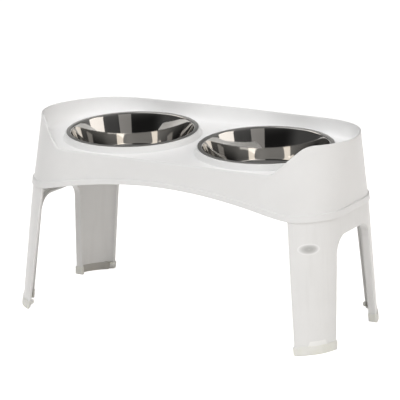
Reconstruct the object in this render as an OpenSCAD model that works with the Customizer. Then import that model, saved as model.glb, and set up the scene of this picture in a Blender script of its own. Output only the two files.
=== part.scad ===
// Raised dog feeder: a moulded tray on two arched leg frames, with two lift-out steel bowls.
// X runs along the tray, the low front faces -Y, and the floor is Z = 0.

/* [Overall] */
// Height from the floor to the top of the raised wall
total_h = 302; // [290:1:330]
// Height of the tray's lower edge above the floor
lip_z = 193.5; // [185:0.5:205]
// Forward slope of the tray floor and the bowls, in degrees
deck_tilt = 3.7; // [0:0.1:5]

/* [Tray plan] */
// Sideways place of the rounded ends at the top edge, at the front
top_end_x = 149; // [142:0.5:155]
// Sideways place of the rounded ends at the top edge, at the back
top_back_x = 139; // [132:0.5:149]
// Half the straight run of each end at the top edge
top_end_y = 1.5; // [0.5:0.5:6]
// Radius of the rounded ends at the top edge
top_end_r = 113; // [111:0.5:118]
// Sideways place of the corner centres at the lower edge
base_end_x = 178; // [172:0.5:185]
// Front and back place of the corner centres at the lower edge
base_end_y = 40; // [38:0.5:46]
// Radius of the corners at the lower edge
base_end_r = 82.7; // [80:0.1:88]
// How far the back bows out past its straight line, at the top edge
back_bow = 4; // [1:0.5:8]

/* [Tray walls] */
// Wall thickness of the skirt
wall_t = 3; // [2.5:0.1:3.5]
// Thickness of the tray floor
deck_t = 3; // [2.5:0.1:4]
// How far the lower lip stands out from the skirt
lip_step = 2.3; // [1.5:0.1:3]
// Height of the lower lip at the ends
lip_h = 10; // [8:0.5:14]
// Height of the lower lip at mid length
lip_mid_h = 7; // [5:0.5:10]
// Rise of the lower edge at mid length
skirt_arch_rise = 28.5; // [15:0.5:32]
// Half the span of the rise in the lower edge
skirt_arch_half = 213; // [205:1:216]
// Half the flat width of the low front
scoop_half = 172; // [150:1:178]
// Radius of both bends at each end of the low front
scoop_r = 25; // [15:1:30]
// Slope of the climb at each end of the low front, in degrees
scoop_slope = 45; // [40:1:60]

/* [Bowls] */
// Sideways place of each bowl's centre
bowl_x = 116.5; // [114:0.5:120]
// Height of the bowl rims above the floor, at the bowl centres
rim_z = 277.4; // [272:0.1:281]
// Radius of the bowl rim
rim_r = 103; // [98:0.5:105]
// Width of the flat rim
rim_w = 7.5; // [6:0.5:10]
// Depth of the bowl inside
bowl_depth = 60; // [45:1:66]
// Thickness of the steel
steel_t = 1.2; // [0.8:0.1:1.6]
// Radius where the rim turns down into the bowl
rim_bend_r = 3; // [2:0.1:4]
// Radius where the bowl wall turns into its floor
floor_bend_r = 16; // [8:1:24]
// Lean of the bowl wall from upright, in degrees
bowl_lean = 14; // [10:1:20]
// Height of the raised collar under each rim
collar_h = 9.4; // [7:0.1:12]
// How far the collar's top reaches past the rim
collar_past = 2; // [0.5:0.5:3]
// Further spread of the collar at its foot
collar_spread = 2.5; // [0.5:0.5:3]
// Gap between the collar and the bowl inside it
bowl_clear = 1; // [0.5:0.1:2]

/* [Leg frames] */
// Sideways lean of the leg corners, in degrees
leg_lean = 3.6; // [3:0.1:4.5]
// Front and back lean of the leg corners, in degrees
leg_spread = 5.2; // [4:0.1:6]
// Wall thickness of the leg frame
leg_t = 3.2; // [2.5:0.1:4]
// Depth of the turned-in edge round the arch
flange_d = 10; // [8:0.5:13]
// Depth of the turned-in inner edges of the legs
free_flange_d = 5; // [4.5:0.5:8]
// Half width of the arch at the floor
arch_low_half = 72; // [66:1:78]
// Half width of the arch where its corners begin
arch_top_half = 57; // [50:1:60]
// Height of the arch's top
arch_z = 164; // [150:1:170]
// Radius of the arch's upper corners
arch_r = 28; // [20:1:36]
// Sideways place of the legs' inner edges at the lip
free_x = 210; // [206:0.5:214]
// Lean of the legs' inner edges, in degrees
free_lean = 6.2; // [5:0.1:7]
// Gap between the leg frames and the lip around them
leg_clear = 0.4; // [0.3:0.05:0.8]
// How far the leg frames reach up behind the lip
lip_reach = 9; // [6:0.5:9.5]
// How far the upright tongue that plugs into the tray stands inside the corner radius
tongue_in = 11.7; // [9.7:0.1:16]
// Height of the tongue above the lip's lower edge
tongue_h = 29; // [24:0.5:34]
// Width of the oval pad on the leg
badge_w = 33; // [24:1:36]
// Height of the oval pad on the leg
badge_h = 15; // [10:1:18]
// Depth of the oval pad
badge_depth = 0.6; // [0.3:0.1:1]
// Height of the oval pad's centre above the floor
badge_z = 155; // [130:1:165]
// Direction of the oval pad about the leg's corner centre, in degrees
badge_turn = 45; // [40:1:50]

/* [Ribs and feet] */
// Thickness of the ribs that hold the leg frames
rib_t = 4; // [3:0.1:5]
// Gap between the ribs and the tongue
rib_clear = 0.5; // [0.3:0.05:0.8]
// Radial reach of the ribs inside the tongue
rib_reach = 11; // [8:0.5:14]
// Directions of the two ribs in each corner, in degrees
rib_turns = [20, 48]; // [10:1:52]
// Height of the rubber feet
foot_h = 13.5; // [10:0.5:18]
// Thickness of the rubber around the leg
foot_t = 2.5; // [2:0.1:3.5]
// Thickness of the rubber under the leg
sole_t = 3; // [2:0.1:5]

/* [Hidden] */
$fn = 96;
eps = 0.01;
spare = 2;
reach = 400;
steps = 12;
panel_top = lip_z + lip_reach;
tongue_r = base_end_r - tongue_in;
tongue_top = lip_z + tongue_h;
shoulder_z = lip_z + 1;
deck_drop = collar_h + steel_t;
front_y = top_end_y + top_end_r;
scoop_z = rim_z - deck_drop - front_y * tan(deck_tilt);
rim_turn_x = rim_r - rim_w + rim_bend_r;
collar_in_r = rim_turn_x + bowl_clear;

// Points along an arc, from angle a to angle b
function arc(x, y, r, a, b) = [for (i = [0:steps]) let (t = a + (b - a) * i / steps) [x + r * cos(t), y + r * sin(t)]];

// Front and back place of the leaning leg corners, at a distance above the lip
function leg_corner_y(up) = base_end_y - up * tan(leg_spread);

// One level of the tray's plan: four corner discs
module plan_level(z, front_x, back_x, end_y, end_r, grow) {
    translate([0, 0, z]) {
        for (s = [-1, 1]) {
            translate([s * front_x, -end_y, 0]) cylinder(r = end_r + grow, h = eps);
            translate([s * back_x, end_y, 0]) cylinder(r = end_r + grow, h = eps);
        }
    }
}

// Bowed line of the back at the top edge
module back_level(z, grow) {
    line_y = top_end_y + top_end_r + grow;
    translate([0, 0, z]) linear_extrude(eps) polygon([
        for (i = [-steps:steps]) [top_back_x * i / steps, line_y + back_bow * (1 - pow(i / steps, 2))]
    ]);
}

// Filled form of the tray from its lower edge to its top edge, grown outwards
module tray_form(grow, over = 0) {
    hull() {
        plan_level(lip_z - over, base_end_x, base_end_x, base_end_y, base_end_r, grow);
        plan_level(total_h + over - eps, top_end_x, top_back_x, top_end_y, top_end_r, grow);
        back_level(total_h + over - eps, grow);
    }
}

// Long round bar across the tray whose top is the arch of the lower edge
module arch_bar(rise, base_z) {
    bar_r = (pow(skirt_arch_half, 2) + pow(rise, 2)) / (2 * rise);
    translate([0, 0, base_z + rise - bar_r]) rotate([90, 0, 0])
        cylinder(r = bar_r, h = 2 * reach, center = true, $fn = 720);
}

// Zone of the lower lip: level at the ends, following the arch between them
module lip_zone() {
    translate([-reach, -reach, lip_z - lip_h]) cube([2 * reach, 2 * reach, 2 * lip_h]);
    intersection() {
        arch_bar(skirt_arch_rise + lip_mid_h - lip_h, lip_z + lip_h);
        translate([-reach, -reach, 0]) cube([2 * reach, 2 * reach, total_h]);
    }
}

// Side outline of the low front, as two S bends that climb to the top edge
module scoop_cut() {
    climb = total_h - scoop_z;
    bend_h = scoop_r * (1 - cos(scoop_slope));
    top_x = scoop_half + 2 * scoop_r * sin(scoop_slope) + (climb - 2 * bend_h) / tan(scoop_slope);
    half = concat(
        arc(scoop_half, scoop_z + scoop_r, scoop_r, -90, scoop_slope - 90),
        arc(top_x, total_h - scoop_r, scoop_r, 90 + scoop_slope, 90),
        [[top_x, total_h + spare]]
    );
    other = [for (i = [len(half) - 1:-1:0]) [-half[i][0], half[i][1]]];
    rotate([90, 0, 0]) linear_extrude(reach) polygon(concat(half, other));
}

// Moves its children into the sloped plane of the bowl rims
module rim_plane() {
    translate([0, 0, rim_z]) rotate([deck_tilt, 0, 0]) children();
}

// Moves its children into the leaning frame of the right legs, level with the lip
module leg_frame_lean() {
    translate([base_end_x, 0, lip_z]) rotate([0, -leg_lean, 0]) children();
}

// Filled outline of the legs, grown outwards, between two heights
module leg_form(z0, z1, grow) {
    low_y = leg_corner_y(-total_h);
    high_y = leg_corner_y(total_h);
    intersection() {
        translate([0, -reach, z0]) cube([2 * reach, 2 * reach, z1 - z0]);
        leg_frame_lean() {
            for (s = [-1, 1])
                translate([0, s * base_end_y, 0]) rotate([s * leg_spread, 0, 0])
                    cylinder(r = base_end_r + grow, h = 2 * total_h, center = true);
            translate([-base_end_r / 2, 0, 0]) rotate([90, 0, 90]) linear_extrude(base_end_r * 3 / 2 + grow)
                polygon([[-low_y, -total_h], [low_y, -total_h], [high_y, total_h], [-high_y, total_h]]);
        }
    }
}

// Filled outline of the upright tongue, grown outwards
module tongue_form(z0, z1, grow) {
    for (s = [-1, 1])
        translate([base_end_x, s * base_end_y, z0]) cylinder(r = tongue_r + grow, h = z1 - z0);
    translate([base_end_x - base_end_r / 2, -base_end_y, z0])
        cube([base_end_r / 2 + tongue_r + grow, 2 * base_end_y, z1 - z0]);
}

// Upright ribs in the corners, notched over the tongue
module ribs() {
    intersection() {
        tray_form(-wall_t / 2);
        rim_plane() translate([-reach, -reach, -deck_drop - deck_t / 2 - reach]) cube([2 * reach, 2 * reach, reach]);
        difference() {
            for (sx = [-1, 1], sy = [-1, 1], turn = rib_turns)
                scale([sx, sy, 1]) translate([base_end_x, base_end_y, panel_top + leg_clear]) rotate(turn)
                    translate([tongue_r - leg_t - rib_reach, -rib_t / 2, 0]) cube([reach, rib_t, reach]);
            for (turn = [0, 180]) rotate(turn) difference() {
                tongue_form(0, tongue_top, rib_clear);
                tongue_form(-spare, tongue_top + spare, -leg_t - rib_clear);
            }
        }
    }
}

module collar() {
    top_r = rim_r + collar_past;
    rotate_extrude() polygon([
        [collar_in_r, -deck_drop - deck_t], [top_r + collar_spread, -deck_drop - deck_t],
        [top_r + collar_spread, -deck_drop], [top_r, -steel_t], [collar_in_r, -steel_t]
    ]);
}

module deck() {
    color("white") {
        difference() {
            union() {
                tray_form(0);
                intersection() {
                    tray_form(lip_step);
                    lip_zone();
                }
            }
            tray_form(-wall_t, spare);
            arch_bar(skirt_arch_rise, lip_z);
            scoop_cut();
            for (turn = [0, 180]) rotate(turn) leg_form(lip_z - spare, panel_top + leg_clear, leg_clear);
        }
        difference() {
            intersection() {
                tray_form(-wall_t / 2);
                rim_plane() translate([-reach, -reach, -deck_drop - deck_t]) cube([2 * reach, 2 * reach, deck_t]);
            }
            rim_plane() for (s = [-1, 1]) translate([s * bowl_x, 0, -deck_drop - deck_t - spare])
                cylinder(r = rim_r, h = deck_t + 2 * spare);
        }
        rim_plane() for (s = [-1, 1]) translate([s * bowl_x, 0, 0]) collar();
        ribs();
    }
}

// Half section of the bowl, inside line first and then the outside line
module bowl_section() {
    wall_x = rim_turn_x - rim_bend_r * cos(bowl_lean);
    wall_z = -rim_bend_r + rim_bend_r * sin(bowl_lean);
    floor_z = -bowl_depth + floor_bend_r * (1 - sin(bowl_lean));
    floor_x = wall_x - (wall_z - floor_z) * tan(bowl_lean) - floor_bend_r * cos(bowl_lean);
    inside = concat(
        [[rim_r, 0]],
        arc(rim_turn_x, -rim_bend_r, rim_bend_r, 90, 180 - bowl_lean),
        arc(floor_x, -bowl_depth + floor_bend_r, floor_bend_r, -bowl_lean, -90),
        [[0, -bowl_depth]]
    );
    outside = concat(
        [[0, -bowl_depth - steel_t]],
        arc(floor_x, -bowl_depth + floor_bend_r, floor_bend_r + steel_t, -90, -bowl_lean),
        arc(rim_turn_x, -rim_bend_r, rim_bend_r - steel_t, 180 - bowl_lean, 90),
        [[rim_r, -steel_t]]
    );
    polygon(concat(inside, outside));
}

module bowl(side) {
    color("silver") rim_plane() translate([side * bowl_x, 0, 0]) rotate_extrude() bowl_section();
}

// Tapered arch opening through the leg frame, grown outwards
module arch_cut(grow) {
    corner_z = arch_z - arch_r;
    lean = atan((arch_low_half - arch_top_half) / corner_z);
    half = concat(
        [[arch_low_half + grow / cos(lean), -eps]],
        arc(arch_top_half - arch_r, corner_z, arch_r + grow, 0, 90)
    );
    other = [for (i = [len(half) - 1:-1:0]) [-half[i][0], half[i][1]]];
    rotate([90, 0, 90]) linear_extrude(reach) polygon(concat(half, other));
}

// Space inside the legs' inner edges, grown outwards
module free_cut(grow) {
    low_x = free_x + lip_z * tan(free_lean) + grow;
    high_x = free_x - (total_h - lip_z) * tan(free_lean) + grow;
    rotate([90, 0, 0]) linear_extrude(2 * reach, center = true)
        polygon([[-reach, -eps], [low_x, -eps], [high_x, total_h], [-reach, total_h]]);
}

// The outer layer of its children, down to a depth under the outside of the legs
module edge_zone(depth) {
    difference() {
        children();
        leg_form(sole_t - spare, panel_top, -depth);
    }
}

// Shallow oval pad sunk into the outside of the front leg
module badge_recess() {
    intersection() {
        leg_frame_lean() translate([0, -leg_corner_y(badge_z - lip_z), badge_z - lip_z])
            rotate(-badge_turn) rotate([0, 90 - leg_spread, 0]) linear_extrude(reach) polygon([
                for (i = [0:4 * steps - 1]) let (t = 90 * i / steps) [badge_h / 2 * cos(t), badge_w / 2 * sin(t)]
            ]);
        difference() {
            leg_form(badge_z - badge_h, badge_z + badge_h, leg_t);
            leg_form(0, lip_z, -badge_depth);
        }
    }
}

// The solid of one leg frame, on the right of the tray
module leg_solid() {
    difference() {
        union() {
            difference() {
                leg_form(sole_t, panel_top, 0);
                leg_form(sole_t - spare, panel_top + spare, -leg_t);
            }
            difference() {
                leg_form(shoulder_z, shoulder_z + leg_t, -leg_t / 2);
                tongue_form(0, total_h, -leg_t);
            }
            difference() {
                tongue_form(shoulder_z, tongue_top, 0);
                tongue_form(0, total_h, -leg_t);
            }
            intersection() {
                leg_form(sole_t, panel_top - leg_t, -leg_t / 2);
                union() {
                    edge_zone(flange_d) arch_cut(leg_t);
                    edge_zone(free_flange_d) free_cut(leg_t);
                }
            }
        }
        arch_cut(0);
        free_cut(0);
        badge_recess();
    }
}

module leg_frame(turn) {
    color("whitesmoke") rotate(turn) leg_solid();
}

// One rubber foot of the right frame, wrapped round the channel section at its front or its back
module foot(turn, side) {
    color("beige") rotate(turn) difference() {
        intersection() {
            leg_form(0, foot_h, foot_t);
            translate([0, side > 0 ? 0 : -reach, 0]) cube([reach, reach, foot_h]);
        }
        leg_form(-spare, foot_h + spare, -flange_d - foot_t);
        difference() {
            leg_form(-spare, foot_h + spare, -free_flange_d - foot_t);
            arch_cut(leg_t + foot_t);
        }
        difference() {
            leg_form(-spare, foot_h + spare, -leg_t - foot_t);
            arch_cut(leg_t + foot_t);
            free_cut(leg_t + foot_t);
        }
        arch_cut(-foot_t);
        free_cut(-foot_t);
        leg_solid();
    }
}

deck();
bowl(-1);  // left_bowl
bowl(1);  // right_bowl
leg_frame(180);  // left_leg_frame
leg_frame(0);  // right_leg_frame
foot(180, 1);  // left_front_foot
foot(180, -1);  // left_rear_foot
foot(0, -1);  // right_front_foot
foot(0, 1);  // right_rear_foot
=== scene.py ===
from math import acos, asin, cos, hypot, pi, radians, sin, sqrt, tan

import bmesh
import bpy
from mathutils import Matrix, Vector


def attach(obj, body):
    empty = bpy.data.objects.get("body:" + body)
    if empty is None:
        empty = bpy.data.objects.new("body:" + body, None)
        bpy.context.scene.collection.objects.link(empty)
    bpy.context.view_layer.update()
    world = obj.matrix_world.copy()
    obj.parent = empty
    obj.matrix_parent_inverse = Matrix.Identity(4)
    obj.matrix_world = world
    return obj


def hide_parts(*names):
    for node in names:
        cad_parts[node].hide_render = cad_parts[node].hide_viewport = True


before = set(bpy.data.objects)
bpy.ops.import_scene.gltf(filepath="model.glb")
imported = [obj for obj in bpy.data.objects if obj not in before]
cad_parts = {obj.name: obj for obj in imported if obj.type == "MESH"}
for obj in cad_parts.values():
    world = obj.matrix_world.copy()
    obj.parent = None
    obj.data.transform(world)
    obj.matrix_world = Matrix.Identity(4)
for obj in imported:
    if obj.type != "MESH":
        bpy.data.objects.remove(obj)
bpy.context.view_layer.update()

# Raised dog feeder: tray, bowls, leg frames and boots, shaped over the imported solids.
# Sizes of the pieces are millimetres and degrees, and names that end in Run count steps.
# The meshes, lamps, camera and shader depths are in metres.
mm = 0.001


def ease(low, high, value):
    f = min(1.0, max(0.0, (value - low) / (high - low)))
    return f * f * (3 - 2 * f)


def between(a, b, f):
    return a + (b - a) * f


def softRise(height, soft):
    return 0.5 * (height + sqrt(height * height + soft * soft))


def insideSteps(a, b, count):
    # even steps from a to b, without the two ends
    return [between(a, b, i / count) for i in range(1, count)]


def arcPath(x, z, r, fromTurn, toTurn, count):
    turns = [radians(between(fromTurn, toTurn, i / count)) for i in range(count + 1)]
    return [(x + r * cos(a), z + r * sin(a)) for a in turns]


def startRing(name, count):
    # a ring of edges to pull from; each vertex remembers its station and holds an inner value, which the
    # materials turn into painted light and painted shade
    bpy.ops.object.select_all(action="DESELECT")
    bpy.ops.mesh.primitive_circle_add(vertices=count, radius=1, fill_type="NOTHING")
    piece = bpy.context.object
    piece.name = name
    piece.data.name = name
    bpy.ops.object.mode_set(mode="EDIT")
    shape = bmesh.from_edit_mesh(piece.data)
    station = shape.verts.layers.int.new("station")
    shape.verts.layers.float.new("inner")
    for i, v in enumerate(shape.verts):
        v[station] = i
    bmesh.update_edit_mesh(piece.data)
    return piece


def placeRing(piece, points, inner):
    shape = bmesh.from_edit_mesh(piece.data)
    station = shape.verts.layers.int["station"]
    depth = shape.verts.layers.float["inner"]
    for v in shape.verts:
        if v.select:
            v.co = points[v[station]] * mm
            v[depth] = inner(v[station])
    bmesh.update_edit_mesh(piece.data)


def pullRings(piece, rings, capped, inner=lambda level, station: 0):
    # first ring in place, then one extrude for each further ring
    placeRing(piece, rings[0], lambda station: inner(0, station))
    if capped:
        bpy.ops.mesh.edge_face_add()
    for level, points in enumerate(rings[1:], 1):
        bpy.ops.mesh.extrude_region()
        placeRing(piece, points, lambda station: inner(level, station))


def closeShape(piece):
    bpy.ops.mesh.select_all(action="SELECT")
    bpy.ops.mesh.normals_make_consistent(inside=False)
    bpy.ops.object.mode_set(mode="OBJECT")


def pick(*pieces):
    bpy.ops.object.select_all(action="DESELECT")
    for piece in pieces:
        piece.select_set(True)
    bpy.context.view_layer.objects.active = pieces[0]


def joinInto(piece, others):
    pick(piece, *others)
    bpy.ops.object.join()
    return piece


def smoothPiece(piece, angle):
    pick(piece)
    bpy.ops.object.shade_smooth_by_angle(angle=radians(angle))
    if "station" in piece.data.attributes:
        piece.data.attributes.remove(piece.data.attributes["station"])


def turnedTwin(piece, name):
    # half a turn about the upright axis, with its own mesh
    pick(piece)
    bpy.ops.object.duplicate(linked=False)
    twin = bpy.context.object
    twin.name = name
    twin.data.name = name
    bpy.ops.transform.rotate(value=pi, orient_axis="Z", center_override=(0, 0, 0))
    bpy.ops.object.transform_apply(location=True, rotation=True, scale=True)
    return twin


# Bowl seat: the sloped plane of the rims, shared by the tray's collars and the bowls
seat = {"tilt": 3.7, "rimZ": 277.4, "bowlX": 116.5}


def rimPlane(x, y, z):
    a = radians(seat["tilt"])
    return Vector((x, y * cos(a) - z * sin(a), seat["rimZ"] + y * sin(a) + z * cos(a)))


def planeHeight(y, drop):
    a = radians(seat["tilt"])
    return seat["rimZ"] - drop / cos(a) + y * tan(a)


def roundRing(centreX, r, z, count):
    turns = [2 * pi * i / count for i in range(count)]
    return [rimPlane(centreX + r * cos(a), r * sin(a), z) for a in turns]


# Tray
tray = {
    "totalH": 302, "lipZ": 193.5, "floorDrop": 10.6, "floorT": 3, "wall": 3,
    "topX": 149, "topBackX": 139, "topY": 1.5, "topR": 113,
    "baseX": 178, "baseY": 40, "baseR": 82.7, "backBow": 4, "endTurn": 12, "backSquare": 7,
    "lipStep": 2.3, "lipH": 10, "lipMidH": 7, "lipRound": 0.9, "lipUnder": 0.5, "lipFillet": 1.4,
    "archRise": 28.5, "archHalf": 213, "archSoft": 2,
    "scoopHalf": 172, "scoopR": 25, "scoopSlope": 45,
    "frontRise": 0.8, "frontRound": 3.2, "frontFade": (2, 14), "topRound": 1.5, "roundShare": 0.45,
    "floorFillet": 8, "leastFillet": 0.3, "filletClear": 0.1, "collarClear": 1.5,
    "floorRim": 0.7, "flat": 0.02,
    "pocketH": 9.4, "pocketGap": 0.4, "pocketSkin": 0.4, "pocketEdge": 0.3, "pocketFoot": 0.4, "pocketUp": 2,
    "frontRun": 40, "cornerRun": 64, "endRun": 20, "backCornerRun": 44, "backRun": 30,
    "lipRun": 4, "wallRun": 9, "edgeRun": 6, "innerEdgeRun": 4, "innerRun": 5, "filletRun": 7,
    "edgeTries": 6, "paintedLightLevels": (33, 41), "smooth": 38,
}
collar = {
    "foot": 109.7, "footFillet": 2.5, "top": 105.2, "topRound": 1.8, "bore": 99.5,
    "boreRound": 1, "topDrop": 1.2, "count": 128, "shade": 0.9, "shadeLevels": 3,
    "footRun": 6, "wallRun": 3, "topRun": 5, "boreRun": 4,
}


def topCentre(turn):
    f = ease(-tray["endTurn"], 90, turn)
    return Vector((between(tray["topX"], tray["topBackX"], f), between(-tray["topY"], tray["topY"], f)))


def backPush(turn):
    # how far the back corners of the top edge stand out past a round
    f = (turn - tray["endTurn"]) / (90 - tray["endTurn"])
    return tray["backSquare"] * sin(pi * f) ** 2


def facing(turn):
    return Vector((cos(radians(turn)), sin(radians(turn))))


def trayStations():
    # lower point, top point and outward direction of each upright line of the skirt
    t = tray
    lowY = t["baseY"] + t["baseR"]
    topY = t["topY"] + t["topR"]
    right = []
    for i in range(t["frontRun"]):
        f = i / t["frontRun"]
        right.append((Vector((t["baseX"] * f, -lowY)), Vector((t["topX"] * f, -topY)), facing(-90)))
    for i in range(t["cornerRun"]):
        f = i / t["cornerRun"]
        a = between(-90, 0, f)
        b = between(-90, -t["endTurn"], f)
        low = Vector((t["baseX"], -t["baseY"])) + facing(a) * t["baseR"]
        right.append((low, topCentre(b) + facing(b) * t["topR"], facing((a + b) / 2)))
    for i in range(t["endRun"]):
        f = i / t["endRun"]
        b = between(-t["endTurn"], t["endTurn"], f)
        low = Vector((t["baseX"] + t["baseR"], between(-t["baseY"], t["baseY"], f)))
        right.append((low, topCentre(b) + facing(b) * t["topR"], facing(b / 2)))
    for i in range(t["backCornerRun"]):
        f = i / t["backCornerRun"]
        a = between(0, 90, f)
        b = between(t["endTurn"], 90, f)
        low = Vector((t["baseX"], t["baseY"])) + facing(a) * t["baseR"]
        right.append((low, topCentre(b) + facing(b) * (t["topR"] + backPush(b)), facing((a + b) / 2)))
    for i in range(t["backRun"] + 1):
        f = 1 - i / t["backRun"]
        top = Vector((t["topBackX"] * f, topY + t["backBow"] * (1 - f * f) ** 2))
        right.append((Vector((t["baseX"] * f, lowY)), top, facing(90)))
    flip = lambda v: Vector((-v.x, v.y))
    return right + [tuple(flip(v) for v in s) for s in reversed(right[1:-1])]


def trayWall(station, inset, z):
    low, top, out = station
    p = low.lerp(top, (z - tray["lipZ"]) / (tray["totalH"] - tray["lipZ"])) - out * inset
    return Vector((p.x, p.y, z))


def archHeight(x, rise):
    bar = (tray["archHalf"] ** 2 + rise ** 2) / (2 * rise)
    return sqrt(max(0, bar * bar - x * x)) - bar + rise


def scoopHeight(x):
    # side outline of the low front: flat, then an S bend up to the top edge
    t = tray
    r = t["scoopR"]
    slope = radians(t["scoopSlope"])
    lowZ = planeHeight(-(t["topY"] + t["topR"]), t["floorDrop"])
    span = r * sin(slope)
    bend = r * (1 - cos(slope))
    endX = t["scoopHalf"] + 2 * span + (t["totalH"] - lowZ - 2 * bend) / tan(slope)
    x = abs(x)
    if x < t["scoopHalf"]:
        return lowZ
    if x < t["scoopHalf"] + span:
        return lowZ + r - sqrt(r * r - (x - t["scoopHalf"]) ** 2)
    if x < endX - span:
        return lowZ + bend + (x - t["scoopHalf"] - span) * tan(slope)
    if x < endX:
        return t["totalH"] - r + sqrt(r * r - (endX - x) ** 2)
    return t["totalH"]


def trayProfile(station):
    # one upright section of the skirt, from under the floor, round the lip and over the top edge
    t = tray
    side = trayWall(station, 0, t["lipZ"])
    lowZ = t["lipZ"] + softRise(archHeight(side.x, t["archRise"]), t["archSoft"])
    lipRise = t["archRise"] + t["lipMidH"] - t["lipH"]
    lipTop = t["lipZ"] + t["lipH"] + softRise(archHeight(side.x, lipRise), t["archSoft"])
    topZ = t["totalH"]
    for i in range(t["edgeTries"]):
        edge = trayWall(station, 0, topZ)
        topZ = scoopHeight(edge.x) if edge.y < 0 else t["totalH"]
    inner = trayWall(station, t["wall"], topZ)
    floorZ = planeHeight(inner.y, t["floorDrop"])
    rise = max(topZ - floorZ, t["frontRise"])
    topZ = floorZ + rise
    outRound = between(t["frontRound"], t["topRound"], ease(*t["frontFade"], rise))
    inRound = min(t["topRound"], t["roundShare"] * rise)
    wallIn = outRound + inRound
    gap = hypot(abs(inner.x) - seat["bowlX"], inner.y) - collar["foot"]
    fillet = min(t["floorFillet"], rise - inRound - t["filletClear"], gap - t["collarClear"])
    fillet = max(t["leastFillet"], fillet)
    inX = max(0, t["baseX"] - abs(side.x))
    pocket = t["baseR"] - sqrt(max(0, (t["baseR"] + t["pocketGap"]) ** 2 - inX * inX))
    pocket = min(pocket, t["wall"] - t["pocketSkin"])
    pocketZ = lowZ + t["pocketH"]
    step = t["lipStep"]
    lr = t["lipRound"]
    lu = t["lipUnder"]
    lf = t["lipFillet"]
    pe = t["pocketEdge"]
    path = [(t["wall"], pocketZ + t["pocketUp"]), (t["wall"], pocketZ + pe), (t["wall"] - pe, pocketZ)]
    path += [(pocket, pocketZ), (pocket, lowZ + t["pocketFoot"]), (pocket - pe, lowZ)]
    path += arcPath(lu - step, lowZ + lu, lu, 270, 180, t["lipRun"])
    path += arcPath(lr - step, lipTop - lr, lr, 180, 90, t["lipRun"])
    path += arcPath(-lf, lipTop + lf, lf, 270, 360, t["lipRun"])
    path += [(0, z) for z in insideSteps(lipTop + lf, topZ - outRound, t["wallRun"])]
    path += arcPath(outRound, topZ - outRound, outRound, 180, 90, t["edgeRun"])
    path += arcPath(outRound, topZ - inRound, inRound, 90, 0, t["innerEdgeRun"])[1:]
    path += [(wallIn, z) for z in insideSteps(topZ - inRound, floorZ + fillet, t["innerRun"])]
    points = [trayWall(station, inset, z) for inset, z in path]
    under = trayWall(station, t["wall"], floorZ - t["floorT"])
    under.z = planeHeight(under.y, t["floorDrop"] + t["floorT"])
    points.insert(0, under)
    bend = arcPath(wallIn + fillet, fillet, fillet, 180, 270, t["filletRun"])
    bend += [(wallIn + fillet + t["floorRim"], 0)]
    for inset, up in bend:
        p = trayWall(station, inset, floorZ + up)
        p.z = planeHeight(p.y, t["floorDrop"]) + up
        points.append(p)
    return points


def collarRings(side):
    c = collar
    floor = -tray["floorDrop"]
    ff = c["footFillet"]
    tr = c["topRound"]
    br = c["boreRound"]
    wallTop = -c["topDrop"] - tr
    path = arcPath(c["foot"], floor + ff, ff, 270, 180, c["footRun"])
    wallR = insideSteps(c["foot"] - ff, c["top"], c["wallRun"])
    wallZ = insideSteps(floor + ff, wallTop, c["wallRun"])
    path += list(zip(wallR, wallZ))
    path += arcPath(c["top"] - tr, wallTop, tr, 0, 90, c["topRun"])
    path += arcPath(c["bore"] + br, -c["topDrop"] - br, br, 90, 180, c["boreRun"])
    path += [(c["bore"], floor - tray["floorT"])]
    return [roundRing(side * seat["bowlX"], r, z, c["count"]) for r, z in path]


def fillFloor(piece, drop):
    # close the flat floor between the open loops that lie in its plane
    bpy.ops.mesh.select_all(action="DESELECT")
    shape = bmesh.from_edit_mesh(piece.data)
    for e in shape.edges:
        flat = all(abs(v.co.z / mm - planeHeight(v.co.y / mm, drop)) < tray["flat"] for v in e.verts)
        e.select_set(e.is_boundary and flat)
    bmesh.update_edit_mesh(piece.data)
    bpy.ops.mesh.fill(use_beauty=True)


ribs = {
    "turns": (20, 48), "thick": 4, "inR": 56.8, "notchIn": 67.3, "notchOut": 71.5,
    "notchTop": 222.5, "lowZ": 202.9, "reach": 85, "outerRun": 4,
}


def ribOuter(turn, z, back):
    # distance from the corner centre to the middle of the skirt wall
    t = tray
    w = (z - t["lipZ"]) / (t["totalH"] - t["lipZ"])
    topX = t["topBackX"] if back else t["topX"]
    offX = (t["baseX"] - topX) * w
    offY = (t["baseY"] - t["topY"]) * w
    r = between(t["baseR"], t["topR"], w) - t["wall"] / 2
    along = offX * cos(radians(turn)) + offY * sin(radians(turn))
    push = backPush(between(t["endTurn"], 90, turn / 90)) * w if back else 0
    return sqrt(along * along + r * r - offX * offX - offY * offY) - along + push


def makeRib(sx, sy, turn):
    r = ribs
    out = Vector((sx * cos(radians(turn)), sy * sin(radians(turn)), 0))
    across = Vector((-out.y, out.x, 0)) * (r["thick"] / 2)
    foot = Vector((sx * tray["baseX"], sy * tray["baseY"], 0))
    drop = tray["floorDrop"] + tray["floorT"] / 2
    highZ = lambda d: planeHeight(foot.y + out.y * d, drop)
    outline = [(r["inR"], r["lowZ"]), (r["notchIn"], r["lowZ"]), (r["notchIn"], r["notchTop"])]
    outline += [(r["notchOut"], r["notchTop"]), (r["notchOut"], r["lowZ"])]
    for i in range(r["outerRun"] + 1):
        z = between(r["lowZ"], highZ(r["reach"]), i / r["outerRun"])
        outline.append((ribOuter(turn, z, sy > 0), z))
    outline.append((r["inR"], highZ(r["inR"])))
    ring = [foot + out * d + Vector((0, 0, z)) for d, z in outline]
    piece = startRing("rib", len(ring))
    pullRings(piece, [[p - across for p in ring], [p + across for p in ring]], True)
    closeShape(piece)
    return piece


def collarPaintedShade(level, station):
    # painted shade: from its foot fillet up, the collar gets a low inner value and reads darker than the
    # painted-light floor round the bowl
    return 1 - collar["shade"] * ease(0, collar["shadeLevels"], level)


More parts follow.
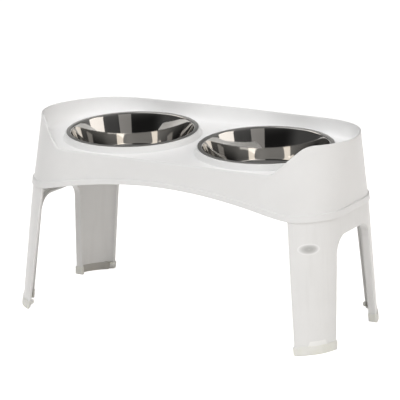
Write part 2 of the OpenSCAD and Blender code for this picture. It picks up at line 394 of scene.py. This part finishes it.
def makeTray():
    profiles = [trayProfile(s) for s in trayStations()]
    piece = startRing("tray_shell", len(profiles))
    rings = [[p[k] for p in profiles] for k in range(len(profiles[0]))]
    # painted light: the top edge and the whole inside of the tray get a high inner value and are painted
    # whiter than the outside
    pullRings(piece, rings, False, lambda level, station: ease(*tray["paintedLightLevels"], level))
    bpy.ops.object.mode_set(mode="OBJECT")
    rims = []
    for side in (-1, 1):
        rim = startRing("collar", collar["count"])
        pullRings(rim, collarRings(side), False, collarPaintedShade)
        bpy.ops.object.mode_set(mode="OBJECT")
        rims.append(rim)
    joinInto(piece, rims)
    bpy.ops.object.mode_set(mode="EDIT")
    fillFloor(piece, tray["floorDrop"])
    fillFloor(piece, tray["floorDrop"] + tray["floorT"])
    closeShape(piece)
    plates = [makeRib(sx, sy, turn) for sx in (-1, 1) for sy in (-1, 1) for turn in ribs["turns"]]
    joinInto(piece, plates)
    smoothPiece(piece, tray["smooth"])
    return piece


# Bowls
bowl = {
    "rimR": 103, "rimW": 7.5, "depth": 60, "steel": 1.2, "rimBend": 3, "floorBend": 16, "lean": 14,
    "topLean": 18.4, "lowLean": 10.3, "edge": 0.6, "centre": 5, "count": 160, "smooth": 40,
    "outBendRun": 12, "outWallRun": 12, "outRimRun": 6, "edgeRun": 8,
    "inRimRun": 10, "inWallRun": 16, "inBendRun": 14, "floorRun": 4,
}


def bowlWall(top, low, count):
    # points of the wall on the way down: it leans most below the rim and stands steeper near the floor
    topSlope = tan(radians(bowl["topLean"]))
    lowSlope = tan(radians(bowl["lowLean"]))
    fall = top[1] - low[1]
    turn = (top[0] - low[0] - fall * lowSlope) / (topSlope - lowSlope)
    middle = Vector((top[0] - turn * topSlope, top[1] - turn))
    points = []
    for i in range(1, count):
        f = i / count
        points.append(Vector(top).lerp(middle, f).lerp(middle.lerp(Vector(low), f), f))
    return [tuple(p) for p in points]


def bowlPath():
    b = bowl
    turnX = b["rimR"] - b["rimW"] + b["rimBend"]
    lean = radians(b["lean"])
    wallX = turnX - b["rimBend"] * cos(lean)
    wallZ = b["rimBend"] * (sin(lean) - 1)
    bendZ = -b["depth"] + b["floorBend"] * (1 - sin(lean))
    floorX = wallX - (wallZ - bendZ) * tan(lean) - b["floorBend"] * cos(lean)
    centreZ = -b["depth"] + b["floorBend"]
    low = -b["depth"] - b["steel"]
    edge = b["edge"]
    run = b["floorRun"]
    path = [(between(b["centre"], floorX, i / run), low) for i in range(run)]
    outBend = arcPath(floorX, centreZ, b["floorBend"] + b["steel"], -90, -b["lowLean"], b["outBendRun"])
    outRim = arcPath(turnX, -b["rimBend"], b["rimBend"] - b["steel"], 180 - b["topLean"], 90, b["outRimRun"])
    path += outBend
    path += bowlWall(outRim[0], outBend[-1], b["outWallRun"])[::-1]
    path += outRim
    path += arcPath(b["rimR"] - edge, -edge, edge, -90, 90, b["edgeRun"])
    inRim = arcPath(turnX, -b["rimBend"], b["rimBend"], 90, 180 - b["topLean"], b["inRimRun"])
    inBend = arcPath(floorX, centreZ, b["floorBend"], -b["lowLean"], -90, b["inBendRun"])
    path += inRim
    path += bowlWall(inRim[-1], inBend[0], b["inWallRun"])
    path += inBend
    path += [(between(floorX, b["centre"], i / run), -b["depth"]) for i in range(1, run + 1)]
    return path


def makeBowl(name, side):
    piece = startRing(name, bowl["count"])
    rings = [roundRing(side * seat["bowlX"], r, z, bowl["count"]) for r, z in bowlPath()]
    pullRings(piece, rings, True)
    closeShape(piece)
    smoothPiece(piece, bowl["smooth"])
    return piece


# Leg frames
legs = {
    "lean": 3.6, "spread": 5.2, "wall": 3.2, "flange": 12, "freeFlange": 5,
    "archLow": 72, "archTop": 57, "archZ": 164, "archR": 28, "freeX": 210, "freeLean": 6.2,
    "footZ": 3, "panelTop": 202.5, "topFlange": 5, "middleT": 22,
    "edgeRound": 1.8, "tipRound": 0.8, "innerRound": 1.2, "roundShare": 0.45,
    "bendWidth": 14, "leastSlant": 0.4,
    "legRun": 22, "cornerRun": 20, "crownRun": 6, "skinRun": 24, "flangeRun": 3, "tipRun": 1, "roundRun": 4,
    "archGuess": 0.2, "freeGuess": 1.1, "tries": 8,  # first turns in radians, and how often they are mended
    "smooth": 40,
}
tongue = {"r": 71, "top": 222.5, "shoulderZ": 194.5, "shoulderR": 81.2, "turn": 61, "run": 24}
pad = {
    "turn": 45, "z": 155, "halfW": 17.5, "halfH": 8.2, "count": 64,
    "sizes": (1.0, 0.985, 0.955, 0.9, 0.86, 0.84, 0.6, 0.3),
    "rises": (-0.3, 0.06, 0.12, 0.15, 0.15, 0.15, 0.15, 0.15),
    "shadeFades": (1, 1, 0.97, 0.88, 0.78, 0.72, 0.25, 0),
}


def legCorner(turn, z):
    # place on the outside of the rear leg, at a turn about its leaning corner line and a height
    r = tray["baseR"]
    lean = radians(legs["lean"])
    spread = radians(legs["spread"])
    up = (z - tray["lipZ"] - r * cos(turn) * sin(lean)) / cos(lean)
    along = (up - r * sin(turn) * sin(spread)) / cos(spread)
    x = tray["baseX"] + r * cos(turn) * cos(lean) - up * sin(lean)
    y = tray["baseY"] - along * sin(spread) + r * sin(turn) * cos(spread)
    return x, y


def legSurface(t, z):
    # point and outward normal of the outside of the legs, t counted round the end from its middle
    side = -1 if t < 0 else 1
    edge = legCorner(0, z)[1]
    turn = max(0, abs(t) - edge) / tray["baseR"]
    x, y = legCorner(turn, z)
    y = side * (min(abs(t), edge) + y - edge)
    lean = radians(legs["lean"])
    spread = radians(legs["spread"])
    local = Vector((cos(turn), side * sin(turn) * cos(spread), sin(turn) * sin(spread)))
    normalX = local.x * cos(lean) - local.z * sin(lean)
    normalZ = local.x * sin(lean) + local.z * cos(lean)
    return Vector((x, y, z)), Vector((normalX, local.y, normalZ))


def roundAtTurn(turn, z):
    return legCorner(0, z)[1] + tray["baseR"] * turn


def roundAtY(y, z):
    if y <= legCorner(0, z)[1]:
        return y
    turn = legs["archGuess"]
    for i in range(legs["tries"]):
        turn = asin(sin(turn) + (y - legCorner(turn, z)[1]) / tray["baseR"])
    return roundAtTurn(turn, z)


def roundAtFree(z):
    x = legs["freeX"] + (tray["lipZ"] - z) * tan(radians(legs["freeLean"]))
    turn = legs["freeGuess"]
    for i in range(legs["tries"]):
        turn = acos(cos(turn) + (x - legCorner(turn, z)[0]) / tray["baseR"])
    return roundAtTurn(turn, z)


def legStation(tIn, zIn, tOut, zOut, flange, crown):
    return {"in": Vector((tIn, zIn)), "out": Vector((tOut, zOut)), "flange": flange, "crown": crown}


def archSide(z):
    f = z / (legs["archZ"] - legs["archR"])
    return between(legs["archLow"], legs["archTop"], f)


def legStations():
    # from the foot of the rear leg up to the middle of the crown, then mirrored to the front
    g = legs
    cornerZ = g["archZ"] - g["archR"]
    half = []
    for i in range(g["legRun"]):
        z = between(g["footZ"], cornerZ, i / g["legRun"])
        half.append(legStation(roundAtY(archSide(z), z), z, roundAtFree(z), z, g["freeFlange"], 0))
    for i in range(g["cornerRun"] + 1):
        f = i / g["cornerRun"]
        y = g["archTop"] - g["archR"] + g["archR"] * cos(f * pi / 2)
        z = cornerZ + g["archR"] * sin(f * pi / 2)
        if f <= 0.5:
            outZ = between(cornerZ, g["panelTop"], f * 2)
            half.append(legStation(roundAtY(y, z), z, roundAtFree(outZ), outZ, g["freeFlange"], 0))
        else:
            outT = between(roundAtFree(g["panelTop"]), g["middleT"], f * 2 - 1)
            half.append(legStation(roundAtY(y, z), z, outT, g["panelTop"], g["topFlange"], 1))
    for i in range(1, g["crownRun"] + 1):
        f = 1 - i / g["crownRun"]
        y = (g["archTop"] - g["archR"]) * f
        half.append(legStation(y, g["archZ"], g["middleT"] * f, g["panelTop"], g["topFlange"], 1))
    front = []
    for s in half[:-1]:
        front.append(legStation(-s["in"].x, s["in"].y, -s["out"].x, s["out"].y, s["flange"], s["crown"]))
    return front + list(reversed(half))


def legPoint(station, v, d):
    # v runs across the leg from the arch edge, d is the depth under its outside
    width = (station["out"] - station["in"]).length
    place = lambda f: legSurface(*station["in"].lerp(station["out"], f))
    point, normal = place(v / width)
    archNormal = place(0)[1]
    outNormal = place(1)[1]
    archWay = Vector((-1, 0, 0)) / archNormal.x
    side = -1 if outNormal.y > 0 else 1
    freeWay = Vector((0, side, 0)) / max(legs["leastSlant"], abs(outNormal.y))
    outWay = freeWay.lerp(-outNormal, station["crown"])
    nearArch = 1 - ease(legs["wall"], legs["bendWidth"], v)
    nearOut = 1 - ease(legs["wall"], legs["bendWidth"], width - v)
    way = -normal * (1 - nearArch - nearOut) + archWay * nearArch + outWay * nearOut
    return point + way * d


def channelOutline(width, depthIn, depthOut, grow, lining, edgeRound, tipRound, innerRound):
    # section of the channel: outside skin, two turned-in edges, and the inside
    g = legs
    w = g["wall"] + lining
    tipIn = depthIn + lining
    tipOut = depthOut + lining
    corners = [
        (-grow, tipIn, tipRound), (-grow, -grow, edgeRound),
        (width + grow, -grow, edgeRound), (width + grow, tipOut, tipRound),
        (width - w, tipOut, tipRound), (width - w, w, innerRound),
        (w, w, innerRound), (w, tipIn, tipRound),
    ]
    runs = [g["flangeRun"], g["skinRun"], g["flangeRun"], g["tipRun"]] * 2
    turns = [radians(90 * k / g["roundRun"]) for k in range(g["roundRun"] + 1)]
    arcs = []
    for i, (x, y, r) in enumerate(corners):
        p = Vector((x, y))
        back = Vector(corners[i - 1][:2]) - p
        ahead = Vector(corners[(i + 1) % len(corners)][:2]) - p
        r = min(r, g["roundShare"] * back.length, g["roundShare"] * ahead.length)
        back.normalize()
        ahead.normalize()
        middle = p + (back + ahead) * r
        arcs.append([middle - (ahead * cos(a) + back * sin(a)) * r for a in turns])
    outline = []
    for i, (arc, run) in enumerate(zip(arcs, runs)):
        following = arcs[(i + 1) % len(arcs)][0]
        outline += arc + [arc[-1].lerp(following, k / (run + 1)) for k in range(1, run + 1)]
    return outline


def makePad():
    side = -roundAtTurn(radians(pad["turn"]), pad["z"])
    rings = []
    for size, up in zip(pad["sizes"], pad["rises"]):
        ring = []
        for i in range(pad["count"]):
            a = 2 * pi * i / pad["count"]
            t = side + pad["halfW"] * size * cos(a)
            z = pad["z"] + pad["halfH"] * size * sin(a)
            point, normal = legSurface(t, z)
            ring.append(point + normal * up)
        rings.append(ring)
    piece = startRing("oval_pad", pad["count"])
    # the fades paint shade: the oval is grey in the middle like the shade of a shallow dimple and pales
    # towards its edge
    pullRings(piece, rings, False, lambda level, station: pad["shadeFades"][level])
    bpy.ops.mesh.edge_face_add()
    closeShape(piece)
    return piece


def makeTongue():
    # shoulder and upright tongue that plug into the tray's ribs
    t = tongue
    inR = t["r"] - legs["wall"]
    stepZ = t["shoulderZ"] + legs["wall"]
    section = [(inR, t["shoulderZ"]), (t["shoulderR"], t["shoulderZ"]), (t["shoulderR"], stepZ)]
    section += [(t["r"], stepZ), (t["r"], t["top"]), (inR, t["top"])]
    rings = []
    turn = radians(t["turn"])
    runs = [(-turn * (1 - i / t["run"]), -tray["baseY"]) for i in range(t["run"])]
    runs += [(0, -tray["baseY"])] + [(-a, -y) for a, y in [(0, -tray["baseY"])] + runs[::-1]]
    for a, y in runs:
        rings.append([Vector((tray["baseX"] + r * cos(a), y + r * sin(a), z)) for r, z in section])
    piece = startRing("tongue", len(section))
    pullRings(piece, rings, True)
    closeShape(piece)
    return piece


def makeLegFrame():
    g = legs
    rings = []
    for s in legStations():
        width = (s["out"] - s["in"]).length
        rounds = (g["edgeRound"], g["tipRound"], g["innerRound"])
        outline = channelOutline(width, g["flange"], s["flange"], 0, 0, *rounds)
        rings.append([legPoint(s, v, d) for v, d in outline])
    piece = startRing("leg_frame_right", len(rings[0]))
    pullRings(piece, rings, True)
    closeShape(piece)
    return piece


# Rubber boots
boot = {
    "grow": 1.5, "lining": 0.7, "height": 13.5, "midZ": 8,
    "edgeRound": 2.8, "tipRound": 1.2, "innerRound": 0.8, "coreRounds": (0.9, 0.8, 1.2),
    "soleRound": 1.2, "soleRun": 4, "cornerR": 5, "heelLift": 5, "heelDepth": (1.5, 4), "heelWidth": (12, 7),
    "topRound": 0.6, "topShare": 0.3, "topTuck": 0.1, "sink": 1.5, "sinkTuck": 0.3,
    "tabHalf": 16, "tabH": 6.5, "tabEnd": 3.5, "tabHighlightFrom": 0.4, "lug": 5, "lugFrom": (2, 7),
    "insideShadeFrom": (57, 61), "insideShadeTo": (92, 97), "smooth": 35,
}


def bootRing(side, z, inset, tabbed):
    # one level of the boot: the channel's outline drawn in towards the leg, with a tab above its outside
    g = boot
    place = lambda up: legStation(
        side * roundAtY(archSide(up), up), up, side * roundAtFree(up), up, legs["freeFlange"], 0
    )
    low = place(z)
    width = (low["out"] - low["in"]).length
    rounds = (g["edgeRound"], g["tipRound"], g["innerRound"])
    lug = g["lug"] * ease(*g["lugFrom"], z)
    outer = channelOutline(width, legs["flange"], legs["freeFlange"] + lug, g["grow"], g["lining"], *rounds)
    core = channelOutline(width, legs["flange"], legs["freeFlange"], 0, 0, *g["coreRounds"])
    points = []
    for a, b in zip(outer, core):
        up = z
        if tabbed and a.y < 0:
            reach = g["tabHalf"] - abs(a.x - width / 2)
            up += g["tabH"] * ease(0, g["tabEnd"], reach)
        pulled = a.lerp(b, inset / g["grow"])
        points.append((legPoint(place(up), pulled.x, pulled.y), pulled, width))
    return points


def soleLift(pulled, width):
    # the sole turns up at the inner edge of the leg
    g = boot
    near = min(1, max(0, (pulled.x - width - g["grow"] + g["cornerR"]) / g["cornerR"]))
    corner = g["cornerR"] * (1 - sqrt(1 - near * near))
    heel = g["heelLift"] * ease(*g["heelDepth"], pulled.y) * ease(*g["heelWidth"], width - pulled.x)
    return max(corner, heel)


def bootInsideShade(station):
    # painted shade: stations on the inside of the boot's channel are darkened where shadow falls
    return ease(*boot["insideShadeFrom"], station) * (1 - ease(*boot["insideShadeTo"], station))


def makeBoot(name, side):
    g = boot
    levels = []
    for i in range(g["soleRun"] + 1):
        a = radians(90 * i / g["soleRun"])
        ring = bootRing(side, 0, g["soleRound"] * (1 - sin(a)), False)
        rise = g["soleRound"] * (1 - cos(a))
        levels.append([Vector((p.x, p.y, rise + soleLift(pulled, width))) for p, pulled, width in ring])
    tr = g["topRound"]
    top = g["height"]
    soft = g["topShare"] * tr
    upper = ((g["midZ"], 0, False), (top - tr, 0, False), (top - soft, soft, False), (top, tr, False))
    upper += ((top, g["grow"] - g["topTuck"], True), (top - g["sink"], g["grow"] + g["sinkTuck"], True))
    for z, inset, tabbed in upper:
        levels.append([p for p, pulled, width in bootRing(side, z, inset, tabbed)])
    piece = startRing(name, len(levels[0]))
    pullRings(piece, levels, True, lambda level, station: bootInsideShade(station))
    closeShape(piece)
    # faces above the tab's base take the paler, glossier tab finish: a painted highlight
    for face in piece.data.polygons:
        face.material_index = 1 if face.center.z > (top + g["tabHighlightFrom"]) * mm else 0
    smoothPiece(piece, g["smooth"])
    return piece


trayPiece = makeTray()
print("tray shaped", len(trayPiece.data.polygons))
bowlLeft = makeBowl("bowl_left_dish", -1)
bowlRight = makeBowl("bowl_right_dish", 1)
print("bowls shaped", len(bowlRight.data.polygons))
legRight = makeLegFrame()
padPiece = makePad()
tonguePiece = makeTongue()
print("leg frame shaped", len(legRight.data.polygons))
bootRightFront = makeBoot("boot_right_front", -1)
bootRightRear = makeBoot("boot_right_rear", 1)
print("boots shaped", len(bootRightFront.data.polygons))


# Shader helpers
class Value:
    # a shader socket that takes plain arithmetic
    def __init__(self, finish, out):
        self.finish = finish
        self.out = out

    def math(self, operation, a, b):
        return self.finish.node("Math", {"operation": operation}, {0: a, 1: b})

    def __add__(self, other):
        return self.math("ADD", self, other)

    def __radd__(self, other):
        return self.math("ADD", other, self)

    def __sub__(self, other):
        return self.math("SUBTRACT", self, other)

    def __rsub__(self, other):
        return self.math("SUBTRACT", other, self)

    def __mul__(self, other):
        return self.math("MULTIPLY", self, other)

    def __rmul__(self, other):
        return self.math("MULTIPLY", other, self)

    def __pow__(self, other):
        return self.math("POWER", self, other)


class Finish:
    # one material, or the world, and its nodes
    def __init__(self, holder):
        holder.use_nodes = True
        self.holder = holder
        self.tree = holder.node_tree

    def node(self, kind, settings, sockets, out=0):
        made = self.tree.nodes.new("ShaderNode" + kind)
        for name, value in settings.items():
            setattr(made, name, value)
        for name, value in sockets.items():
            self.plug(made.inputs[name], value)
        return Value(self, made.outputs[out])

    def plug(self, socket, value):
        if isinstance(value, Value):
            self.tree.links.new(value.out, socket)
        else:
            socket.default_value = value

    def surface(self, **sockets):
        shader = self.tree.nodes["Principled BSDF"]
        for name, value in sockets.items():
            self.plug(shader.inputs[name.replace("_", " ")], value)

    def place(self):
        return self.node("TexCoord", {}, {}, "Object")

    def axes(self, vector):
        made = self.node("SeparateXYZ", {}, {0: vector}).out.node
        return [Value(self, out) for out in made.outputs]

    def noise(self, place, scale, detail, roughness=0.55):
        sockets = {"Vector": place, "Scale": scale, "Detail": detail, "Roughness": roughness}
        return self.node("TexNoise", {}, sockets)

    def step(self, value, low, high):
        settings = {"interpolation_type": "SMOOTHSTEP"}
        return self.node("MapRange", settings, {"Value": value, "From Min": low, "From Max": high})

    def tint(self, factor, a, b):
        settings = {"data_type": "RGBA"}
        colour = lambda c: c if isinstance(c, Value) else (*c, 1)
        return self.node("Mix", settings, {0: factor, 6: colour(a), 7: colour(b)}, 2)  # the colour sockets

    def bump(self, height, strength, distance):
        return self.node("Bump", {}, {"Height": height, "Strength": strength, "Distance": distance})


def newFinish(name):
    return Finish(bpy.data.materials.new(name))


# White plastic; each noise is its scale and its detail
plastic = {
    "cloud": (14, 3), "handled": (42, 4), "fine": (1900, 2), "cloudShare": 0.75, "handledShare": 0.25,
    # the inner share and colour whiten faces with a high inner value: painted light
    "toneFade": (0.3, 0.7), "paintedLightShadeShare": 0.85, "paintedLightShadeColour": (1, 1, 1),
    "streak": (110, 2), "streakStretch": (1, 1, 0.03), "streakFade": (0.45, 0.7),
    "streakColour": (0.6, 0.585, 0.57),
    "handledGloss": 0.10, "fineGloss": 0.05, "middleGloss": 0.075, "grainDepth": 0.0001, "ior": 1.49,
}


def moulded(name, light, dark, rough, grain, flow=0):
    # cloudy tone, upright flow streaks, fine spark grain, gloss that varies a little, and painted light: a
    # whiter tint where the inner value is high
    p = plastic
    look = newFinish(name)
    place = look.place()
    cloud = look.noise(place, *p["cloud"])
    fine = look.noise(place, *p["fine"])
    handled = look.noise(place, *p["handled"])
    tone = cloud * p["cloudShare"] + handled * p["handledShare"]
    inner = look.node("Attribute", {"attribute_name": "inner"}, {}, "Fac")
    outside = look.tint(look.step(tone, *p["toneFade"]), dark, light)
    upright = look.node("Mapping", {}, {"Vector": place, "Scale": p["streakStretch"]})
    streaks = look.step(look.noise(upright, *p["streak"]), *p["streakFade"])
    outside = look.tint(streaks * flow, outside, p["streakColour"])
    look.surface(
        # painted light: faces with a high inner value are tinted whiter
        Base_Color=look.tint(inner * p["paintedLightShadeShare"], outside, p["paintedLightShadeColour"]),
        Roughness=handled * p["handledGloss"] + fine * p["fineGloss"] + (rough - p["middleGloss"]),
        Normal=look.bump(fine, grain, p["grainDepth"]),
        IOR=p["ior"],
    )
    return look.holder


shellLook = moulded(
    "white_shell", light=(0.825, 0.825, 0.82), dark=(0.80, 0.80, 0.795), rough=0.34, grain=0.10,
)
legLook = moulded(
    "white_legs", light=(0.82, 0.82, 0.813), dark=(0.80, 0.80, 0.793), rough=0.34, grain=0.10, flow=0.09,
)
# the oval pad's grey is painted shade of a shallow dimple
padShadeLook = moulded("oval_pad_painted_shade", light=(0.50, 0.50, 0.49), dark=(0.45, 0.45, 0.44), rough=0.42, grain=0.12)


# Bowl steel
steel = {
    # the rim colour is a painted reflection, and the edge share adds painted shade at the outer edge
    "light": (0.76, 0.745, 0.72), "dark": (0.68, 0.66, 0.63), "rimPaintedReflection": (0.26, 0.255, 0.245),
    "rimFade": (95.8, 97.2), "edgeShadeFade": (101.2, 102.2), "rimReflectionShare": 0.6, "edgeShadeShare": 0.3,
    "ringsPerMetre": 900.0, "rings": (3.0, 3), "smear": (30, 3), "ringBump": 0.06, "ringDepth": 0.00005,
    "gloss": 0.02, "rimGloss": 0.24, "ringGloss": 0.03, "smearGloss": 0.02,
}


def steelLook(name, side):
    # polished inside, satin rim, with fine rings from spinning and polishing; the rim is painted dark grey
    # as a dim reflection and its outer edge darker still as painted shade
    s = steel
    look = newFinish(name)
    centre = rimPlane(side * seat["bowlX"], 0, 0) * mm
    settings = {"vector_type": "TEXTURE"}
    sockets = {"Vector": look.place(), "Location": centre, "Rotation": (radians(seat["tilt"]), 0, 0)}
    local = look.node("Mapping", settings, sockets)
    x, y, z = look.axes(local)
    r = (x * x + y * y) ** 0.5
    rim = look.step(r, *(v * mm for v in s["rimFade"]))
    edge = look.step(r, *(v * mm for v in s["edgeShadeFade"]))
    across = look.node("CombineXYZ", {}, {0: r * s["ringsPerMetre"], 1: z * s["ringsPerMetre"], 2: 0.0})
    rings = look.noise(across, *s["rings"])
    smear = look.noise(local, *s["smear"])
    bright = look.tint(rings, s["dark"], s["light"])
    look.surface(
        # painted reflection on the rim band, darker still at the outer edge as painted shade
        Base_Color=look.tint(rim * s["rimReflectionShare"] + edge * s["edgeShadeShare"], bright, s["rimPaintedReflection"]),
        Metallic=1.0,
        Roughness=s["gloss"] + rim * s["rimGloss"] + rings * s["ringGloss"] + smear * s["smearGloss"],
        Normal=look.bump(rings, s["ringBump"], s["ringDepth"]),
    )
    return look.holder


# Boot rubber
rubber = {
    "cloud": (55, 4), "fine": (1300, 2), "toneFade": (0.3, 0.7),
    "dark": (0.78, 0.78, 0.735), "light": (0.815, 0.815, 0.775),
    # the inner share and colour paint shade inside the boot's channel
    "paintedLightShadeShare": 0.7, "paintedLightShadeColour": (0.36, 0.34, 0.31),
    "gloss": 0.42, "cloudGloss": 0.12, "fineGloss": 0.05, "grain": 0.15, "grainDepth": 0.0001,
    "soak": 0.25, "soakRadius": (0.004, 0.004, 0.003),
}


def bootLook():
    # soft and pale, a little green-yellow and cloudy, with painted shade darkening the inside of its channel
    b = rubber
    look = newFinish("boot_rubber")
    place = look.place()
    cloud = look.noise(place, *b["cloud"])
    fine = look.noise(place, *b["fine"])
    inner = look.node("Attribute", {"attribute_name": "inner"}, {}, "Fac")
    outside = look.tint(look.step(cloud, *b["toneFade"]), b["dark"], b["light"])
    look.surface(
        Base_Color=look.tint(inner * b["paintedLightShadeShare"], outside, b["paintedLightShadeColour"]),
        Roughness=b["gloss"] + cloud * b["cloudGloss"] + fine * b["fineGloss"],
        Normal=look.bump(fine, b["grain"], b["grainDepth"]),
        Subsurface_Weight=b["soak"],
        Subsurface_Radius=b["soakRadius"],
        Subsurface_Scale=1.0,
    )
    return look.holder


def dress(piece, *looks):
    parts = [face.material_index for face in piece.data.polygons]
    piece.data.materials.clear()
    for look in looks:
        piece.data.materials.append(look)
    for face, part in zip(piece.data.polygons, parts):
        face.material_index = min(part, len(looks) - 1)


dress(legRight, legLook)
dress(tonguePiece, legLook)
dress(padPiece, padShadeLook)
joinInto(legRight, [padPiece, tonguePiece])
smoothPiece(legRight, legs["smooth"])
legLeft = turnedTwin(legRight, "leg_frame_left")
bootLeftRear = turnedTwin(bootRightFront, "boot_left_rear")
bootLeftFront = turnedTwin(bootRightRear, "boot_left_front")
dress(trayPiece, shellLook)
dress(bowlLeft, steelLook("bowl_steel_left", -1))
dress(bowlRight, steelLook("bowl_steel_right", 1))
rubberLook = bootLook()
# painted highlight: the tab's near-white colour stands in for the glint on it
tabHighlightLook = moulded("boot_tab_highlight", light=(0.94, 0.94, 0.925), dark=(0.91, 0.91, 0.895), rough=0.2, grain=0.04)
boots = (bootLeftFront, bootLeftRear, bootRightFront, bootRightRear)
for piece in boots:
    dress(piece, rubberLook, tabHighlightLook)

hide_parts("deck")
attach(trayPiece, "tray")
bowlPlaces = ((bowlLeft, "left_bowl", "bowl_left"), (bowlRight, "right_bowl", "bowl_right"))
for piece, node, body in bowlPlaces:
    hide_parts(node)
    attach(piece, body)
legPlaces = ((legLeft, "left_leg_frame", "legs_left"), (legRight, "right_leg_frame", "legs_right"))
for piece, node, body in legPlaces:
    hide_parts(node)
    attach(piece, body)
bootNodes = ("left_front_foot", "left_rear_foot", "right_front_foot", "right_rear_foot")
for piece, node in zip(boots, bootNodes):
    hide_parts(node)
    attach(piece, "legs_left" if node.startswith("left") else "legs_right")
print("pieces dressed and placed on their bodies")

# Studio: pale floor, soft lamps, and a world that is pale behind the stand and dark behind the camera
studio = {
    "floorSize": 40, "floorColour": (0.945, 0.925, 0.905), "floorGlow": 0.8,
    "worldBack": 0.14, "worldFront": 0.012, "worldSide": 0.055, "worldTop": 0.16,
    "backFade": (-0.25, 0.6), "sideMiddle": 0.15, "sideFade": (0.05, 0.6), "topFade": (0.2, 0.65),
}
bpy.ops.object.select_all(action="DESELECT")
bpy.ops.mesh.primitive_plane_add(size=studio["floorSize"])
floor = bpy.context.object
floor.name = "floor"
floorLook = newFinish("floor_card")
path = floorLook.node("LightPath", {}, {})
sees = path.out.node.outputs
seen = Value(floorLook, sees["Is Camera Ray"]) + Value(floorLook, sees["Is Glossy Ray"])
seen = seen + Value(floorLook, sees["Is Transmission Ray"])
matt = floorLook.node("BsdfDiffuse", {}, {"Color": (*studio["floorColour"], 1)})
glow = floorLook.node("Emission", {}, {"Color": (1, 1, 1, 1), "Strength": seen * studio["floorGlow"]})
both = floorLook.node("AddShader", {}, {0: matt, 1: glow})
floorLook.plug(floorLook.tree.nodes["Material Output"].inputs["Surface"], both)
dress(floor, floorLook.holder)

world = bpy.data.worlds.new("studio")
bpy.context.scene.world = world
sky = Finish(world)
way = sky.node("TexCoord", {}, {}, "Generated")
across, depth, height = sky.axes(way)
aside = across - studio["sideMiddle"]
amount = studio["worldFront"] + sky.step(aside * aside, *studio["sideFade"]) * studio["worldSide"]
amount = amount + sky.step(depth, *studio["backFade"]) * (studio["worldBack"] - studio["worldFront"])
amount = amount + sky.step(height, *studio["topFade"]) * studio["worldTop"]
sky.plug(sky.tree.nodes["Background"].inputs["Strength"], amount)
sky.tree.nodes["Background"].inputs["Color"].default_value = (1, 1, 1, 1)

lamps = {
    "overhead": {
        "at": (-0.9, -0.3, 2.1), "aim": (0, 0, 0.2), "size": (2.0, 1.6), "watts": 7,
        "colour": (1, 1, 1), "mirror": True,
    },
    "highFront": {
        "at": (0.4, -2.0, 2.5), "aim": (0, 0, 0.2), "size": (1.8, 1.4), "watts": 39,
        "colour": (1, 1, 1), "mirror": False,
    },
    "front": {
        "at": (0.5, -2.8, 1.4), "aim": (0, 0, 0.2), "size": (2.4, 1.8), "watts": 13,
        "colour": (1, 1, 1), "mirror": False,
    },
    "right": {
        "at": (2.6, -1.0, 1.2), "aim": (0, 0, 0.2), "size": (1.6, 1.6), "watts": 13,
        "colour": (1, 0.97, 0.94), "mirror": False,
    },
    "boxRight": {
        "at": (2.6, 0.75, 1.1), "aim": (0, 0, 0.25), "size": (1.6, 1.0), "watts": 5.8,
        "colour": (1, 0.95, 0.9), "mirror": True,
    },
    "boxFront": {
        "at": (2.05, -2.16, 0.95), "aim": (0, 0, 0.25), "size": (1.3, 1.4), "watts": 1.4,
        "colour": (1, 0.97, 0.94), "mirror": True,
    },
    "boxHighLeft": {
        "at": (-2.05, 0, 1.95), "aim": (0, 0, 0.25), "size": (1.0, 1.2), "watts": 4.5,
        "colour": (1, 0.93, 0.85), "mirror": True,
    },
    "boxHighRight": {
        "at": (1.8, 0.87, 1.88), "aim": (0, 0, 0.25), "size": (0.9, 1.2), "watts": 4,
        "colour": (1, 0.93, 0.85), "mirror": True,
    },
}
for name, lamp in lamps.items():
    data = bpy.data.lights.new(name, "AREA")
    data.shape = "RECTANGLE"
    data.size, data.size_y = lamp["size"]
    data.energy = lamp["watts"]
    data.color = lamp["colour"]
    light = bpy.data.objects.new(name, data)
    bpy.context.scene.collection.objects.link(light)
    light.location = lamp["at"]
    light.rotation_euler = (Vector(lamp["aim"]) - Vector(lamp["at"])).to_track_quat("-Z", "Y").to_euler()
    light.visible_glossy = lamp["mirror"]
print("studio lit")

camera = {"at": (1.3518, -2.4427, 0.8869), "way": (-0.4683, 0.8484, -0.2467), "lens": 168.1, "sensor": 36}
view = bpy.data.cameras.new("photo_view")
view.sensor_width = camera["sensor"]
view.lens = camera["lens"]
viewer = bpy.data.objects.new("photo_view", view)
bpy.context.scene.collection.objects.link(viewer)
viewer.location = camera["at"]
viewer.rotation_euler = Vector(camera["way"]).to_track_quat("-Z", "Y").to_euler()
bpy.context.scene.camera = viewer
bpy.context.scene.view_settings.view_transform = "Standard"
